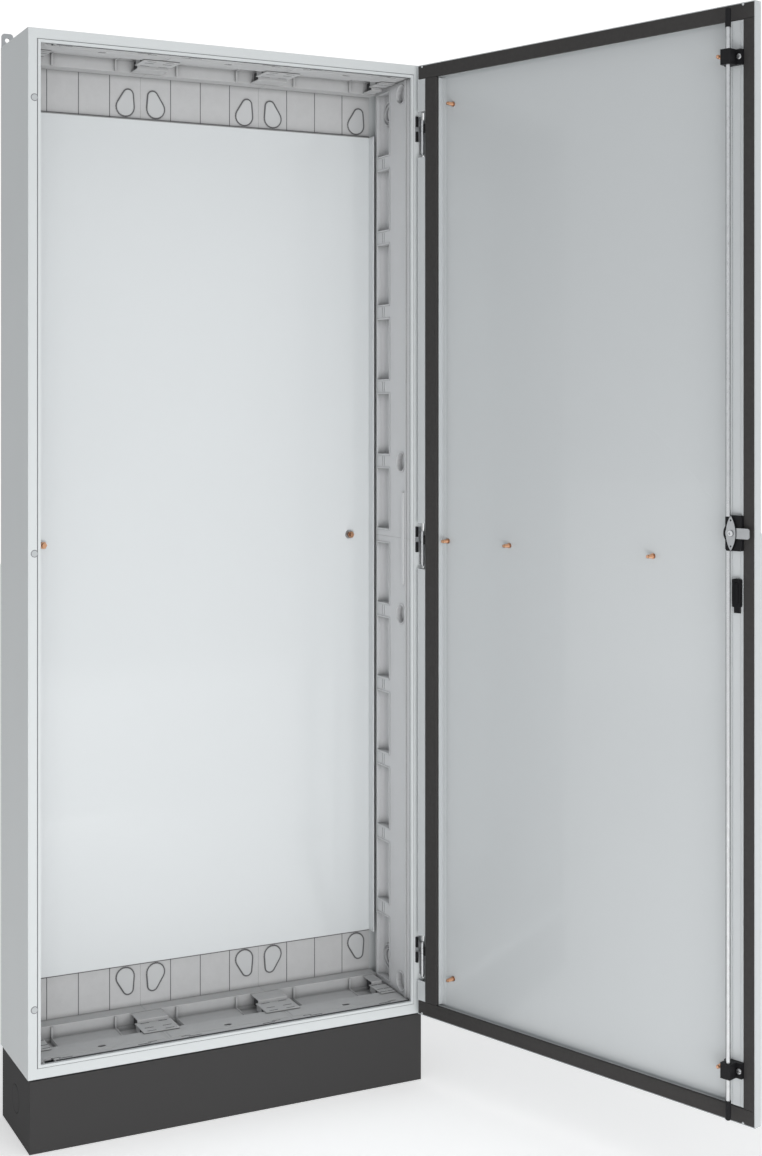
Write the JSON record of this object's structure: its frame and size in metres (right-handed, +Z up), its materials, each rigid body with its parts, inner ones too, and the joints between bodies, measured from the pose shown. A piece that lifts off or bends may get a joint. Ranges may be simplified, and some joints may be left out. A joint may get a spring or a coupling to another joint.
{
  "type": "switchboard cabinet",
  "caption": "Floor-standing sheet-steel switchboard cabinet with a plinth, a hinged door with rod lock and swing handle, a back plate, plastic side liners and cable-entry trays.",
  "frame": {"origin": "middle of the plinth's underside, on the floor", "axes": "+Z up; the door opening faces -Y; +X to the right seen from the front"},
  "size_m": [1.0672, 0.9759, 2.063],
  "materials": {
    "body_paint": "fine textured light-grey powder coat",
    "plate_paint": "smooth light-grey powder coat, semi-gloss",
    "door_paint": "light-grey powder coat, semi-gloss inside",
    "plinth_paint": "dark graphite powder coat, matt",
    "liner_plastic": "moulded grey plastic",
    "tray_plastic": "moulded grey plastic, fine grain",
    "cap_plastic": "moulded light-grey plastic",
    "black_plastic": "glass-filled black plastic",
    "gasket_foam": "foamed black sealing",
    "zinc_steel": "bright zinc-plated steel",
    "lock_metal": "zinc die-cast, satin",
    "copper_stud": "copper-plated steel"
  },
  "bodies": {
    "cabinet": {"plinth_front": "plinth_paint", "plinth_rear": "plinth_paint", "plinth_side_left": "plinth_paint", "plinth_side_right": "plinth_paint", "plinth_corner_posts": "plinth_paint", "plinth_knockouts": "plinth_paint", "hinge_base_blocks": "black_plastic", "plinth_bolts": "zinc_steel", "back_plate_washers": "zinc_steel", "hinge_body_leaves": "zinc_steel", "hinge_pins": "zinc_steel", "wall_lugs": "zinc_steel", "side_panel_left": "body_paint", "side_panel_right": "body_paint", "roof_panel": "body_paint", "floor_panel": "body_paint", "rear_panel": "body_paint", "front_frame": "body_paint", "back_plate": "plate_paint", "back_plate_studs": "copper_stud", "entry_band_top": "tray_plastic", "entry_band_bottom": "tray_plastic", "bridge_covers_top": "tray_plastic", "bridge_covers_bottom": "tray_plastic", "entry_tray_top_1": "tray_plastic", "entry_tray_top_2": "tray_plastic", "entry_tray_top_3": "tray_plastic", "entry_tray_bottom_1": "tray_plastic", "entry_tray_bottom_2": "tray_plastic", "entry_tray_bottom_3": "tray_plastic", "liner_right_upper": "liner_plastic", "liner_right_lower": "liner_plastic", "liner_left_upper": "liner_plastic", "liner_left_lower": "liner_plastic", "liner_splices": "liner_plastic", "frame_plugs": "cap_plastic"},
    "door": {"door_panel": "door_paint", "door_gasket": "gasket_foam", "door_stiffener_lock": "door_paint", "door_stiffener_hinge": "door_paint", "hinge_door_leaves": "zinc_steel", "hinge_door_blocks": "black_plastic", "door_studs": "copper_stud", "rod_guide_top": "black_plastic", "rod_guide_bottom": "black_plastic", "guide_screws": "zinc_steel", "lock_housing": "black_plastic", "handle_clamp": "black_plastic", "handle_escutcheon": "black_plastic"},
    "spindle": {"spindle": "lock_metal", "lock_tongue": "lock_metal", "cam_plate": "lock_metal", "cam_screw": "zinc_steel", "lever_pin": "zinc_steel"},
    "lever": {"handle_lever": "black_plastic"},
    "key": {"key_insert": "lock_metal"},
    "rod_upper": {"rod_upper": "zinc_steel", "rod_tip_upper": "black_plastic"},
    "rod_lower": {"rod_lower": "zinc_steel", "rod_tip_lower": "black_plastic"}
  },
  "joints": [
    {"name": "door_hinge", "type": "hinge", "parent": "cabinet", "child": "door", "pos_m": [0.393, -0.1145, 1.085], "axis": [0, 0, 1], "range_deg": [-108.4, 21.6]},
    {"name": "spindle_turn", "type": "hinge", "parent": "door", "child": "spindle", "pos_m": [0.61598, -0.83073, 1.136], "axis": [0.9489, 0.3156, 0], "range_deg": [0, 90]},
    {"name": "lever_tilt", "type": "hinge", "parent": "spindle", "child": "lever", "pos_m": [0.65612, -0.81738, 1.132], "axis": [0.3156, -0.9489, 0], "range_deg": [0, 35]},
    {"name": "key_turn", "type": "hinge", "parent": "lever", "child": "key", "pos_m": [0.66371, -0.81486, 1.018], "axis": [0.9489, 0.3156, 0], "range_deg": [0, 90]},
    {"name": "rod_upper_slide", "type": "slide", "parent": "door", "child": "rod_upper", "axis": [0, 0, -1], "range_m": [0, 0.02]},
    {"name": "rod_lower_slide", "type": "slide", "parent": "door", "child": "rod_lower", "axis": [0, 0, 1], "range_m": [0, 0.02]}
  ],
  "couplings": [
    {"joint": "rod_upper_slide", "follows": "spindle_turn", "m_per_rad": 0.012732},
    {"joint": "rod_lower_slide", "follows": "spindle_turn", "m_per_rad": 0.012732}
  ]
}
